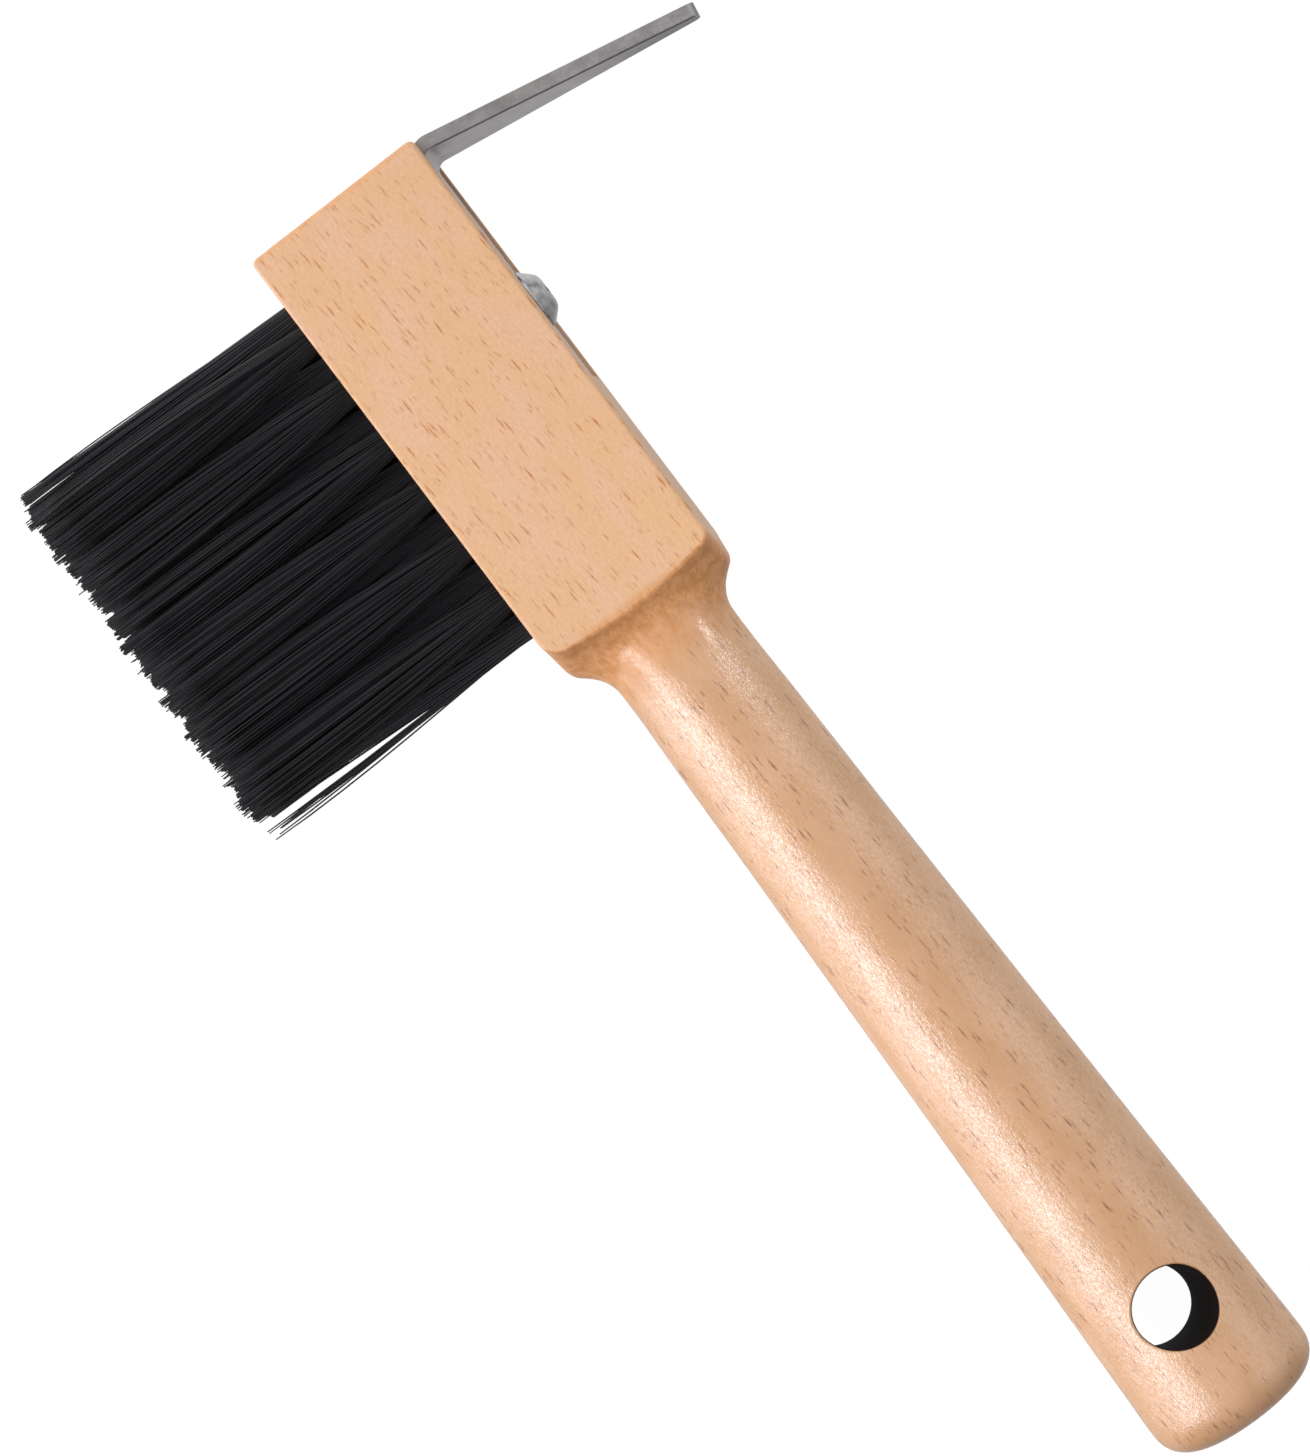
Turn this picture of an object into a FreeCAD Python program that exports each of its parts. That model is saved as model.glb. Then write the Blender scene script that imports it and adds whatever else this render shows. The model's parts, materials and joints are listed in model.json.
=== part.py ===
import FreeCAD, Part
import math
import os

import Sketcher
from FreeCAD import Placement, Rotation, Vector

# Hoof pick with brush: a one-piece wooden body, an inlaid steel hook and staple-set tufts.
# +X runs from the head to the end of the handle, +Y to the hook's tip, +Z through the thickness.
# The origin is at the bottom centre of the whole object's box.

# Driving dimensions in millimetres, except where a note says degrees or a plain factor.
DIMENSIONS = [
    ("total_length", 240.0, "from the head's end to the handle's end"),
    ("head_length", 78.2, "from the head's end to the corners of the shoulder"),
    ("head_width", 31.9, "across the head, from the bristle face to the back"),
    ("head_thickness", 24.0, "between the two broad faces"),
    ("back_rounding", 0.8, "radius along the two long edges of the back"),
    ("end_rounding", 1.2, "radius round the head's end face"),
    ("face_rounding", 0.5, "radius along the two long edges of the bristle face"),
    ("shoulder_length", 11.2, "from the shoulder's corners to the neck"),
    ("shoulder_rise_width", 13.8, "growth of the half width over the shoulder"),
    ("shoulder_rise_thickness", 7.07, "growth of the half thickness over the shoulder"),
    ("shoulder_back_rounding", 2.2, "radius where the shoulder meets the back"),
    ("shoulder_face_rounding", 3.5, "radius where the shoulder meets the bristle face"),
    ("neck_half_width", 11.2, "half of the handle's width at the neck"),
    ("neck_half_thickness", 8.9, "half of the handle's thickness at the neck"),
    ("end_half_width", 14.5, "half of the handle's width where the end starts to round"),
    ("end_half_thickness", 10.8, "half of the handle's thickness there"),
    ("end_length", 8.0, "length of the rounded end"),
    ("hanging_radius", 6.6, "radius of the hanging hole"),
    ("hanging_inset", 22.5, "from the handle's end to the hanging hole"),
    ("hanging_offset", 1.4, "hanging hole on the upper face, off the handle's axis towards the back"),
    ("hanging_tilt", 12.5, "slope of the hanging hole towards the back, degrees"),
    ("hanging_skew", 0.9, "slope of the hanging hole towards the handle's end, degrees"),
    ("hanging_rim", 0.4, "radius of the hanging hole's rims"),
    ("pick_setback", 0.3, "from the head's end to the back of the hook's arm"),
    ("pick_thickness", 2.4, "steel plate of the hook"),
    ("pick_width", 17.0, "width of the hook's leg"),
    ("pick_tip_width", 3.4, "width of the hook's tip"),
    ("pick_tip_rounding", 1.5, "corners of the tip"),
    ("pick_bend", 4.0, "outer radius of the hook's bend"),
    ("pick_lean", 10.0, "degrees by which the arm leans over the leg"),
    ("pick_height", 48.1, "from the back of the head to the hook's tip"),
    ("pick_leg", 45.6, "length of the leg along the head"),
    ("pick_corner", 2.5, "radius of the leg's corners"),
    ("recess_depth", 2.9, "depth of the recess for the leg"),
    ("recess_gap", 0.15, "gap round the leg in its recess"),
    ("screw_inset", 30.5, "from the head's end to the screw"),
    ("screw_head_radius", 5.15, "pan head"),
    ("screw_head_height", 2.9, "pan head"),
    ("screw_crown_rounding", 1.8, "radius between the flat top and the sloping side"),
    ("screw_rim_height", 0.6, "straight rim under the sloping side of the head"),
    ("screw_skirt_rounding", 0.4, "radius between the rim and the sloping side"),
    ("screw_flat_radius", 2.85, "flat top of the pan head"),
    ("screw_shank_radius", 2.4, "plain shank and thread crests"),
    ("screw_core_radius", 1.75, "thread roots"),
    ("screw_clearance", 0.3, "gap between the shank and the hook's hole"),
    ("screw_length", 16.0, "below the head"),
    ("screw_pitch", 1.8, "spacing of the thread ridges"),
    ("screw_drive_width", 1.0, "arm width of the cross recess"),
    ("screw_drive_span", 4.6, "tip to tip of the cross recess"),
    ("screw_drive_depth", 1.5, "depth of the cross recess"),
    ("tuft_pitch", 10.25, "spacing of the tufts along a row"),
    ("tuft_inset", 9.5, "from the head's end to the first tuft of the middle row"),
    ("tuft_row_gap", 6.5, "between neighbouring rows"),
    ("tuft_hole_radius", 2.4, "drilled tuft holes"),
    ("tuft_hole_depth", 14.0, "drilled tuft holes"),
    ("tuft_clearance", 0.05, "between a tuft and the wall of its hole"),
    ("tuft_tip_radius", 4.0, "spread of a tuft at its tips"),
    ("bristle_length", 54.1, "free length of the bristles"),
    ("staple_length", 5.8, "anchor wire across the hole, biting into both walls"),
    ("staple_height", 2.0, "anchor wire along the hole"),
    ("staple_thickness", 0.4, "anchor wire"),
    ("staple_inset", 1.2, "filament fold between the wire and the hole's bottom"),
    ("cut_margin", 5.0, "how far stock and cutting shapes reach past the finished surfaces"),
    ("keep_overlap", 1.0, "how far before the shoulder the square block of the head stops"),
]

# Tufts in each row: row name, number of tufts, rows off the middle, pitches off the first middle tuft.
TUFT_ROWS = [("front", 6, 1, 0.5), ("middle", 7, 0, 0.0), ("rear", 6, -1, 0.5)]

# How the turned form is sampled: fractions of the shoulder, and angles round the handle's end.
SHOULDER_STATIONS = [1.12, 1.0, 0.88, 0.75, 0.6, 0.45, 0.3, 0.15]
SHOULDER_WIDTH_POWER = 2.4
SHOULDER_THICKNESS_POWER = 5
GRIP_STATIONS = [0.0, 0.08, 0.2, 0.35, 0.5, 0.65, 0.78, 0.87, 0.93, 0.97]
GRIP_POWER = 1.15
END_ANGLES = [0, 12, 24, 36, 48, 58, 68, 76, 82, 86]
END_POWER = 2.8

# The screw's thread: number of ridges, and where each one's root starts and ends along its pitch.
THREAD_RIDGES = 6
ROOT_START = 0.35
ROOT_END = 0.55

# Places that follow from the driving dimensions, as expressions for the document.
AXIS_Y = "(dims.bristle_length - dims.pick_height) / 2"
BACK_Y = f"({AXIS_Y} + dims.head_width / 2)"
FACE_Y = f"({AXIS_Y} - dims.head_width / 2)"
MIDDLE_Z = "dims.head_thickness / 2"
HEAD_END_X = "-dims.total_length / 2"
NECK_X = f"({HEAD_END_X} + dims.head_length + dims.shoulder_length)"
END_ROUND_X = "(dims.total_length / 2 - dims.end_length)"
HOLE_BOTTOM_Y = f"{FACE_Y} + dims.tuft_hole_depth"

# Local +Z of a turned or drilled piece, laid along one of the object's axes.
Z_ALONG_X = Rotation(Vector(1, 1, 1), 120)
Z_TO_BACK = Rotation(Vector(1, 0, 0), -90)
Z_TO_BRISTLES = Rotation(Vector(1, 0, 0), 90)

doc = FreeCAD.newDocument("HoofPick")
sheet = doc.addObject("Spreadsheet::Sheet", "dims")


def fill_sheet():
    """Writes the driving dimensions into the sheet, one aliased cell each."""
    for row, (alias, value, note) in enumerate(DIMENSIONS, start=1):
        sheet.set(f"A{row}", alias)
        sheet.set(f"B{row}", str(value))
        sheet.set(f"C{row}", note)
        sheet.setAlias(f"B{row}", alias)
    doc.recompute()


def dim(alias):
    """A driving dimension as a number, for choosing edges and first guesses."""
    return float(getattr(sheet, alias))


def bind(item, **expressions):
    """Binds properties to expressions; a double underscore stands for a dot."""
    for name, expression in expressions.items():
        item.setExpression(name.replace("__", "."), expression)
    return item


def place(item, x="0", y="0", z="0", rotation=None):
    """Gives an object its rotation and binds its position to the sheet."""
    item.Placement = Placement(Vector(0, 0, 0), rotation or Rotation())
    return bind(item, Placement__Base__x=x, Placement__Base__y=y, Placement__Base__z=z)


def primitive(kind, name, **expressions):
    return bind(doc.addObject(f"Part::{kind}", name), **expressions)


def boolean(kind, name, base, tool):
    item = doc.addObject(f"Part::{kind}", name)
    item.Base = base
    item.Tool = tool
    return item


def compound(name, items):
    item = doc.addObject("Part::Compound", name)
    item.Links = items
    return item


def edges_where(item, test):
    """Numbers of the edges whose middle point and direction pass the test."""
    numbers = []
    for number, edge in enumerate(item.Shape.Edges, start=1):
        if edge.Degenerated:
            continue
        middle = edge.valueAt((edge.FirstParameter + edge.LastParameter) / 2)
        along = edge.tangentAt((edge.FirstParameter + edge.LastParameter) / 2)
        if test(middle, along):
            numbers.append(number)
    return numbers


def near(a, b, tolerance=0.05):
    return abs(a - b) < tolerance


def rounded(name, base, groups):
    """A Part fillet over several groups of edges, each with its own radius."""
    item = doc.addObject("Part::Fillet", name)
    item.Base = base
    item.Edges = [(number, radius, radius) for numbers, radius in groups for number in numbers]
    return item


def origin_plane(body, role):
    return next(f for f in body.Origin.OriginFeatures if f.Role == role)


def sketch_on(body, role, name):
    sketch = body.newObject("Sketcher::SketchObject", name)
    sketch.AttachmentSupport = [(origin_plane(body, role), "")]
    sketch.MapMode = "FlatFace"
    return sketch


def constrain(sketch, kind, *values, expression=None):
    """Adds a constraint, with its value bound to an expression where there is one."""
    number = sketch.addConstraint(Sketcher.Constraint(kind, *values))
    if expression:
        sketch.setExpression(f"Constraints[{number}]", expression)


def outline(sketch, corners):
    """Adds a closed polygon whose corners are pairs of expressions."""
    points = [Vector(*(float(sketch.evalExpression(e)) for e in corner), 0) for corner in corners]
    lines = []
    for start, end in zip(points, points[1:] + points[:1]):
        lines.append(sketch.addGeometry(Part.LineSegment(start, end), False))
    for line, following in zip(lines, lines[1:] + lines[:1]):
        constrain(sketch, "Coincident", line, 2, following, 1)
    for line, point, (across, up) in zip(lines, points, corners):
        constrain(sketch, "DistanceX", -1, 1, line, 1, point.x, expression=across)
        constrain(sketch, "DistanceY", -1, 1, line, 1, point.y, expression=up)


def circle(sketch, across, up, radius):
    """Adds a circle whose centre and radius are expressions."""
    x, y, r = (float(sketch.evalExpression(e)) for e in (across, up, radius))
    number = sketch.addGeometry(Part.Circle(Vector(x, y, 0), Vector(0, 0, 1), r), False)
    constrain(sketch, "DistanceX", -1, 1, number, 3, x, expression=across)
    constrain(sketch, "DistanceY", -1, 1, number, 3, y, expression=up)
    constrain(sketch, "Radius", number, r, expression=radius)


def feature(body, kind, name, profile=None, **settings):
    """Adds a PartDesign feature to a body and recomputes, so that the next one can read it."""
    item = body.newObject(f"PartDesign::{kind}", name)
    if profile:
        item.Profile = profile
    for key, value in settings.items():
        setattr(item, key, value)
    doc.recompute()
    return item


def ease(body, name, numbers, radius):
    """Fillets edges of the body's last feature."""
    base = body.Tip
    item = body.newObject("PartDesign::Fillet", name)
    item.Base = (base, [f"Edge{number}" for number in numbers])
    bind(item, Radius=radius)
    doc.recompute()
    return item


def turned_section(name, x, half_width, half_thickness):
    """One oval cross section of the turned form, square to the handle."""
    section = primitive("Ellipse", name, MajorRadius=half_width, MinorRadius=half_thickness)
    return place(section, x, AXIS_Y, MIDDLE_Z, Z_ALONG_X)


def shoulder_sections():
    """Sections from inside the head, down the shoulder, nearly to the neck."""
    for t in SHOULDER_STATIONS:
        yield (
            f"{NECK_X} - dims.shoulder_length * {t}",
            f"dims.neck_half_width + dims.shoulder_rise_width * {t ** SHOULDER_WIDTH_POWER}",
            f"dims.neck_half_thickness"
            f" + dims.shoulder_rise_thickness * {t ** SHOULDER_THICKNESS_POWER}",
        )


def grip_sections():
    """Sections of the grip, which widens steadily from the neck to its rounded end."""
    for t in GRIP_STATIONS:
        yield (
            f"{NECK_X} + ({END_ROUND_X} - {NECK_X}) * {t}",
            f"dims.neck_half_width"
            f" + (dims.end_half_width - dims.neck_half_width) * {t ** GRIP_POWER}",
            f"dims.neck_half_thickness"
            f" + (dims.end_half_thickness - dims.neck_half_thickness) * {t}",
        )


def end_sections():
    """Sections round the end of the handle, along a superellipse."""
    for angle in END_ANGLES:
        along = f"sin({angle} deg) ^ {2 / END_POWER}"
        across = f"cos({angle} deg) ^ {2 / END_POWER}"
        yield (
            f"{END_ROUND_X} + dims.end_length * {along}",
            f"dims.end_half_width * {across}",
            f"dims.end_half_thickness * {across}",
        )


def make_turned_form():
    """The oval handle and its shoulder, with a block that leaves the head square."""
    stations = [*shoulder_sections(), *grip_sections(), *end_sections()]
    loft = doc.addObject("Part::Loft", "turned_handle")
    loft.Sections = [turned_section(f"section_{n}", *s) for n, s in enumerate(stations)]
    loft.Solid = True
    head = primitive(
        "Box",
        "head_keep",
        Length="dims.head_length + dims.cut_margin - dims.keep_overlap",
        Width="dims.head_width * 2",
        Height="dims.head_thickness * 2",
    )
    place(head, f"{HEAD_END_X} - dims.cut_margin", f"{AXIS_Y} - dims.head_width", "-dims.head_thickness / 2")
    return boolean("Fuse", "turned_form", head, loft)


def make_shaped():
    """The planed blank cut down to the turned form, with its edges eased."""
    blank = primitive(
        "Box",
        "blank",
        Length="dims.total_length + dims.cut_margin",
        Width="dims.head_width",
        Height="dims.head_thickness",
    )
    place(blank, HEAD_END_X, FACE_Y)
    shaped = boolean("Common", "shaped", blank, make_turned_form())
    doc.recompute()
    middle_y = (dim("bristle_length") - dim("pick_height")) / 2
    back, face = middle_y + dim("head_width") / 2, middle_y - dim("head_width") / 2
    head_end = -dim("total_length") / 2
    shoulder = head_end + dim("head_length") - dim("shoulder_length")

    def corner(level):
        return edges_where(shaped, lambda at, along: near(at.y, level) and at.x > shoulder)

    groups = [(corner(back), dim("shoulder_back_rounding")), (corner(face), dim("shoulder_face_rounding"))]
    sanded = rounded("sanded", shaped, groups)
    doc.recompute()

    def arris(level):
        return edges_where(
            sanded,
            lambda at, along: near(at.y, level) and near(abs(along.x), 1) and at.x < shoulder,
        )

    ends = edges_where(sanded, lambda at, along: near(at.x, head_end))
    return rounded(
        "eased",
        sanded,
        [
            (arris(back), dim("back_rounding")),
            (arris(face), dim("face_rounding")),
            (ends, dim("end_rounding")),
        ],
    )


def make_recess():
    """The milled slot for the hook's leg, open at the head's end, with rounded inner corners."""
    slot = primitive(
        "Box",
        "recess_slot",
        Length="dims.pick_setback + dims.pick_leg + dims.recess_gap + dims.cut_margin",
        Width="dims.recess_depth + dims.cut_margin",
        Height="dims.pick_width + dims.recess_gap * 2",
    )
    place(
        slot,
        f"{HEAD_END_X} - dims.cut_margin",
        f"{BACK_Y} - dims.recess_depth",
        f"{MIDDLE_Z} - dims.pick_width / 2 - dims.recess_gap",
    )
    doc.recompute()
    inner_end = slot.Shape.BoundBox.XMax
    corners = edges_where(slot, lambda at, along: near(at.x, inner_end) and near(abs(along.y), 1))
    return rounded("recess", slot, [(corners, dim("pick_corner"))])


def tuft_places():
    """Name, X and Z of every tuft, as expressions."""
    for row, count, rows_off, pitches_off in TUFT_ROWS:
        for number in range(count):
            yield (
                f"{row}_{number + 1}",
                f"{HEAD_END_X} + dims.tuft_inset + dims.tuft_pitch * {number + pitches_off}",
                f"{MIDDLE_Z} + dims.tuft_row_gap * {rows_off}",
            )


def make_tuft_hole(name, x, z):
    hole = primitive(
        "Cylinder",
        f"tuft_hole_{name}",
        Radius="dims.tuft_hole_radius",
        Height="dims.tuft_hole_depth + dims.cut_margin",
    )
    return place(hole, x, HOLE_BOTTOM_Y, z, Z_TO_BRISTLES)


def make_staple(name, x, z):
    """A flat anchor wire across the bottom of one hole."""
    wire = primitive(
        "Box",
        f"staple_{name}",
        Length="dims.staple_length",
        Width="dims.staple_thickness",
        Height="dims.staple_height",
    )
    return place(
        wire,
        f"{x} - dims.staple_length / 2",
        f"{HOLE_BOTTOM_Y} - dims.staple_inset",
        f"{z} - dims.staple_thickness / 2",
        Z_TO_BRISTLES,
    )


def make_tuft(name, x, z, staple):
    """A bundle of filaments: a stem in its hole, folded round its staple, and a spreading brush."""
    stem = primitive(
        "Cylinder",
        f"stem_{name}",
        Radius="dims.tuft_hole_radius - dims.tuft_clearance",
        Height="dims.tuft_hole_depth",
    )
    place(stem, x, HOLE_BOTTOM_Y, z, Z_TO_BRISTLES)
    brush = primitive(
        "Cone",
        f"brush_{name}",
        Radius1="dims.tuft_hole_radius - dims.tuft_clearance",
        Radius2="dims.tuft_tip_radius",
        Height="dims.bristle_length",
    )
    place(brush, x, FACE_Y, z, Z_TO_BRISTLES)
    bundle = boolean("Fuse", f"bundle_{name}", stem, brush)
    return boolean("Cut", f"bristle_tuft_{name}", bundle, staple)


def make_wooden_body(holes, staples, screw):
    """The shaped blank, milled for the blade and drilled."""
    milled = boolean("Cut", "milled", make_shaped(), make_recess())
    drilled = boolean("Cut", "drilled", milled, holes)
    stapled = boolean("Cut", "stapled", drilled, staples)
    screwed = boolean("Cut", "screwed", stapled, screw)
    hanging = primitive(
        "Cylinder",
        "hanging_hole",
        Radius="dims.hanging_radius",
        Height="dims.head_thickness * 3",
    )
    slope_x, slope_y = "tan(dims.hanging_skew * 1 deg)", "tan(dims.hanging_tilt * 1 deg)"
    drop = "dims.head_thickness * 1.5"
    skew, tilt = math.radians(dim("hanging_skew")), math.radians(dim("hanging_tilt"))
    axis = Vector(math.tan(skew), math.tan(tilt), 1)
    place(
        hanging,
        f"dims.total_length / 2 - dims.hanging_inset - {drop} * {slope_x}",
        f"{AXIS_Y} + dims.hanging_offset - {drop} * {slope_y}",
        f"{MIDDLE_Z} + dims.end_half_thickness - {drop}",
        Rotation(Vector(0, 0, 1), axis),
    )
    bored = boolean("Cut", "bored", screwed, hanging)
    doc.recompute()
    start, radius = hanging.Placement.Base, dim("hanging_radius")
    axis.normalize()
    rims = edges_where(
        bored,
        lambda at, along: near((at - start).cross(axis).Length, radius) and near(along.dot(axis), 0, 0.7),
    )
    return rounded("wooden_body", bored, [(rims, dim("hanging_rim"))])


def make_pick_blade():
    """The hook: an L bent from flat bar, with a tapering arm and a screw hole in its leg."""
    body = doc.addObject("PartDesign::Body", "pick_blade")
    place(body, f"{HEAD_END_X} + dims.pick_setback", f"{BACK_Y} - dims.recess_depth", MIDDLE_Z)
    lean = "(dims.pick_lean * 1 deg)"
    corner = f"dims.pick_bend * (1 - (1 + sin({lean})) / cos({lean}))"
    tip_y = "(dims.recess_depth + dims.pick_height)"
    profile = sketch_on(body, "XY_Plane", "bent_profile")
    outline(
        profile,
        [
            ("dims.pick_leg", "0"),
            (corner, "0"),
            (f"{corner} + {tip_y} * tan({lean})", tip_y),
            (
                f"{corner} + {tip_y} * tan({lean}) + dims.pick_thickness * cos({lean})",
                f"{tip_y} - dims.pick_thickness * sin({lean})",
            ),
            (f"{corner} + dims.pick_thickness * (tan({lean}) + 1 / cos({lean}))", "dims.pick_thickness"),
            ("dims.pick_leg", "dims.pick_thickness"),
        ],
    )
    bar = feature(body, "Pad", "flat_bar", profile, SideType="Symmetric")
    bind(bar, Length="dims.pick_width")
    doc.recompute()
    bend = dim("pick_bend")
    outer = edges_where(bar, lambda at, along: at.x < bend and near(at.y, 0) and near(abs(along.z), 1))
    ease(body, "outer_bend", outer, "dims.pick_bend")
    thickness = dim("pick_thickness")
    inner = edges_where(
        body.Tip,
        lambda at, along: at.x < bend * 2 and near(at.y, thickness) and near(abs(along.z), 1),
    )
    ease(body, "inner_bend", inner, "dims.pick_bend - dims.pick_thickness")

    sides = sketch_on(body, "YZ_Plane", "taper_profile")
    root_y, past_y = "dims.pick_bend", f"({tip_y} + dims.cut_margin)"
    for side in (1, -1):
        outline(
            sides,
            [
                (root_y, f"dims.pick_width / 2 * {side}"),
                (tip_y, f"dims.pick_tip_width / 2 * {side}"),
                (past_y, f"dims.pick_tip_width / 2 * {side}"),
                (past_y, f"dims.pick_width * {side}"),
                (root_y, f"dims.pick_width * {side}"),
            ],
        )
    feature(body, "Pocket", "arm_taper", sides, SideType="Symmetric", Type="ThroughAll")

    bore = sketch_on(body, "XZ_Plane", "screw_hole_profile")
    hole_x = "dims.screw_inset - dims.pick_setback"
    hole_radius = "dims.screw_shank_radius + dims.screw_clearance"
    circle(bore, hole_x, "0", hole_radius)
    feature(body, "Pocket", "screw_hole", bore, SideType="Symmetric", Type="ThroughAll")

    leg = dim("pick_leg")
    corners = edges_where(body.Tip, lambda at, along: near(at.x, leg) and near(abs(along.y), 1))
    ease(body, "leg_corners", corners, "dims.pick_corner")
    high = dim("recess_depth") + dim("pick_height") - thickness
    tip = edges_where(body.Tip, lambda at, along: at.y > high and near(along.z, 0))
    ease(body, "rounded_tip", tip, "dims.pick_tip_rounding")
    return body


def make_blade_screw():
    """A pan-head wood screw, with ring-shaped ridges for its thread."""
    body = doc.addObject("PartDesign::Body", "blade_screw")
    place(
        body,
        f"{HEAD_END_X} + dims.screw_inset",
        f"{BACK_Y} - dims.recess_depth + dims.pick_thickness",
        MIDDLE_Z,
        Z_TO_BACK,
    )
    corners = [
        ("0", "dims.screw_head_height"),
        ("dims.screw_flat_radius", "dims.screw_head_height"),
        ("dims.screw_head_radius", "dims.screw_rim_height"),
        ("dims.screw_head_radius", "0"),
        ("dims.screw_shank_radius", "0"),
    ]
    plain = "(dims.pick_thickness + dims.screw_pitch)"
    for ridge in range(THREAD_RIDGES):
        top = f"-({plain} + dims.screw_pitch * {ridge})"
        corners += [
            ("dims.screw_shank_radius", top),
            ("dims.screw_core_radius", f"{top} - dims.screw_pitch * {ROOT_START}"),
            ("dims.screw_core_radius", f"{top} - dims.screw_pitch * {ROOT_END}"),
        ]
    corners += [
        ("dims.screw_shank_radius", f"{top} - dims.screw_pitch"),
        ("0", "-dims.screw_length"),
    ]
    half = sketch_on(body, "XZ_Plane", "turned_profile")
    outline(half, corners)
    feature(body, "Revolution", "turned_screw", half, ReferenceAxis=(half, ["V_Axis"]), Angle=360)
    height, rim = dim("screw_head_height"), dim("screw_rim_height")
    crown = edges_where(body.Tip, lambda at, along: near(at.z, height) and math.hypot(at.x, at.y) > 1)
    ease(body, "domed_crown", crown, "dims.screw_crown_rounding")
    skirt = edges_where(body.Tip, lambda at, along: near(at.z, rim) and math.hypot(at.x, at.y) > 1)
    ease(body, "eased_skirt", skirt, "dims.screw_skirt_rounding")

    cross = sketch_on(body, "XY_Plane", "cross_profile")
    bind(cross, AttachmentOffset__Base__z="dims.screw_head_height")
    span, arm = "dims.screw_drive_span / 2", "dims.screw_drive_width / 2"
    quarter = [(span, arm), (arm, arm), (arm, span)]
    turns = [(1, 1), (-1, 1), (-1, -1), (1, -1)]
    points = []
    for across, up in turns:
        arc = quarter if across * up > 0 else quarter[::-1]
        points += [(f"{x} * {across}", f"{y} * {up}") for x, y in arc]
    outline(cross, points)
    feature(body, "Pocket", "cross_recess", cross, Type="Length")
    bind(body.Tip, Length="dims.screw_drive_depth")
    return body


def build():
    """Makes every sub-part and returns them, each labelled with its node's name."""
    fill_sheet()
    blade = make_pick_blade()
    screw = make_blade_screw()
    places = list(tuft_places())
    holes = compound("tuft_holes", [make_tuft_hole(*p) for p in places])
    staples = [make_staple(*p) for p in places]
    anchors = compound("anchor_staples", staples)
    tufts = [make_tuft(*p, staple) for p, staple in zip(places, staples)]
    wood = make_wooden_body(holes, anchors, screw)
    parts = [wood, blade, screw, anchors, *tufts]
    for part in parts:
        part.Label = part.Name
    return parts


def check_and_export(parts):
    """Stops on any failed object or bad shape, then writes one STEP file for each sub-part."""
    doc.recompute()
    for item in doc.Objects:
        if "Invalid" in item.State or "Error" in item.State:
            raise RuntimeError(f"{item.Name} failed: {item.State}")
    for part in parts:
        if part.Shape.isNull() or not part.Shape.isValid():
            raise RuntimeError(f"{part.Label} has no valid shape")
    os.makedirs("parts", exist_ok=True)
    for part in parts:
        part.Shape.exportStep(os.path.join("parts", f"{part.Label}.step"))
        print(f"{part.Label}: {len(part.Shape.Solids)} solids, {part.Shape.Volume / 1000:.2f} cm3")


check_and_export(build())
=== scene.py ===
"""The looks of a hoof pick: beech, steel and bristles in soft studio light, round the CAD frame.

Each CAD node gets its material, and each plain bristle tuft is replaced by separate filaments.
Everything is in metres. Sizes are written in millimetres, times MM.
"""

import json
import math
import random

import bpy
from mathutils import Matrix, Vector


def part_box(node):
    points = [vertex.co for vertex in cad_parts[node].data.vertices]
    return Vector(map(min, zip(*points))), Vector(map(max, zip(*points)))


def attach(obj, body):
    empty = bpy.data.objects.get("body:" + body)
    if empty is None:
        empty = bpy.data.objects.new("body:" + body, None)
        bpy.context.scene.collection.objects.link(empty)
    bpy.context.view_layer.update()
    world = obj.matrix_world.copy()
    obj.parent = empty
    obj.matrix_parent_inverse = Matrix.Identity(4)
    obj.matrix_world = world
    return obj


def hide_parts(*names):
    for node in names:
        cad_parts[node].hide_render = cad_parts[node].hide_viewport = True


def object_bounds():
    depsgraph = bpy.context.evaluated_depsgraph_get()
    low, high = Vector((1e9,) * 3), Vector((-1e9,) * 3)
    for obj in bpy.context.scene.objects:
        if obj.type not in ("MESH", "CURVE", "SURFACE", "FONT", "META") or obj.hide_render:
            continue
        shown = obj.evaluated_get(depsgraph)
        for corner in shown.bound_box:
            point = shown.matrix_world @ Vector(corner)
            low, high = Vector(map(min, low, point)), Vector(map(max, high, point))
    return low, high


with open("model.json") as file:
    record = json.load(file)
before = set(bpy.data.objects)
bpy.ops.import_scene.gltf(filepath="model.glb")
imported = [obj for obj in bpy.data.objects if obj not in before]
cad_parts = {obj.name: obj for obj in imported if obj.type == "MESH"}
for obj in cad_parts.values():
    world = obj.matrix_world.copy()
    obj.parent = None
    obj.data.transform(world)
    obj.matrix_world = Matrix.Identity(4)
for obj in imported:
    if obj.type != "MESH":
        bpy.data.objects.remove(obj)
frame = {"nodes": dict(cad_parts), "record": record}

CAD_LOW, CAD_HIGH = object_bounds()
CENTRE = (CAD_LOW + CAD_HIGH) / 2

MM = 0.001
WOOD = "wooden_body"
BLADE = "pick_blade"
SCREW = "blade_screw"
STAPLES = "anchor_staples"

WOOD_LOW, WOOD_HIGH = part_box(WOOD)
TUFT_NODES = sorted(name for name in frame["nodes"] if name.startswith("bristle_tuft"))
HANGING = next(m for m in frame["record"]["mounts"] if m["name"] == "hang_hole")

# Along the wood, the head ends at the shoulder and the grip begins at the neck.
WOOD_LENGTH = WOOD_HIGH.x - WOOD_LOW.x
SHOULDER_X = WOOD_LOW.x + WOOD_LENGTH * 0.325
NECK_X = WOOD_LOW.x + WOOD_LENGTH * 0.372

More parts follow.
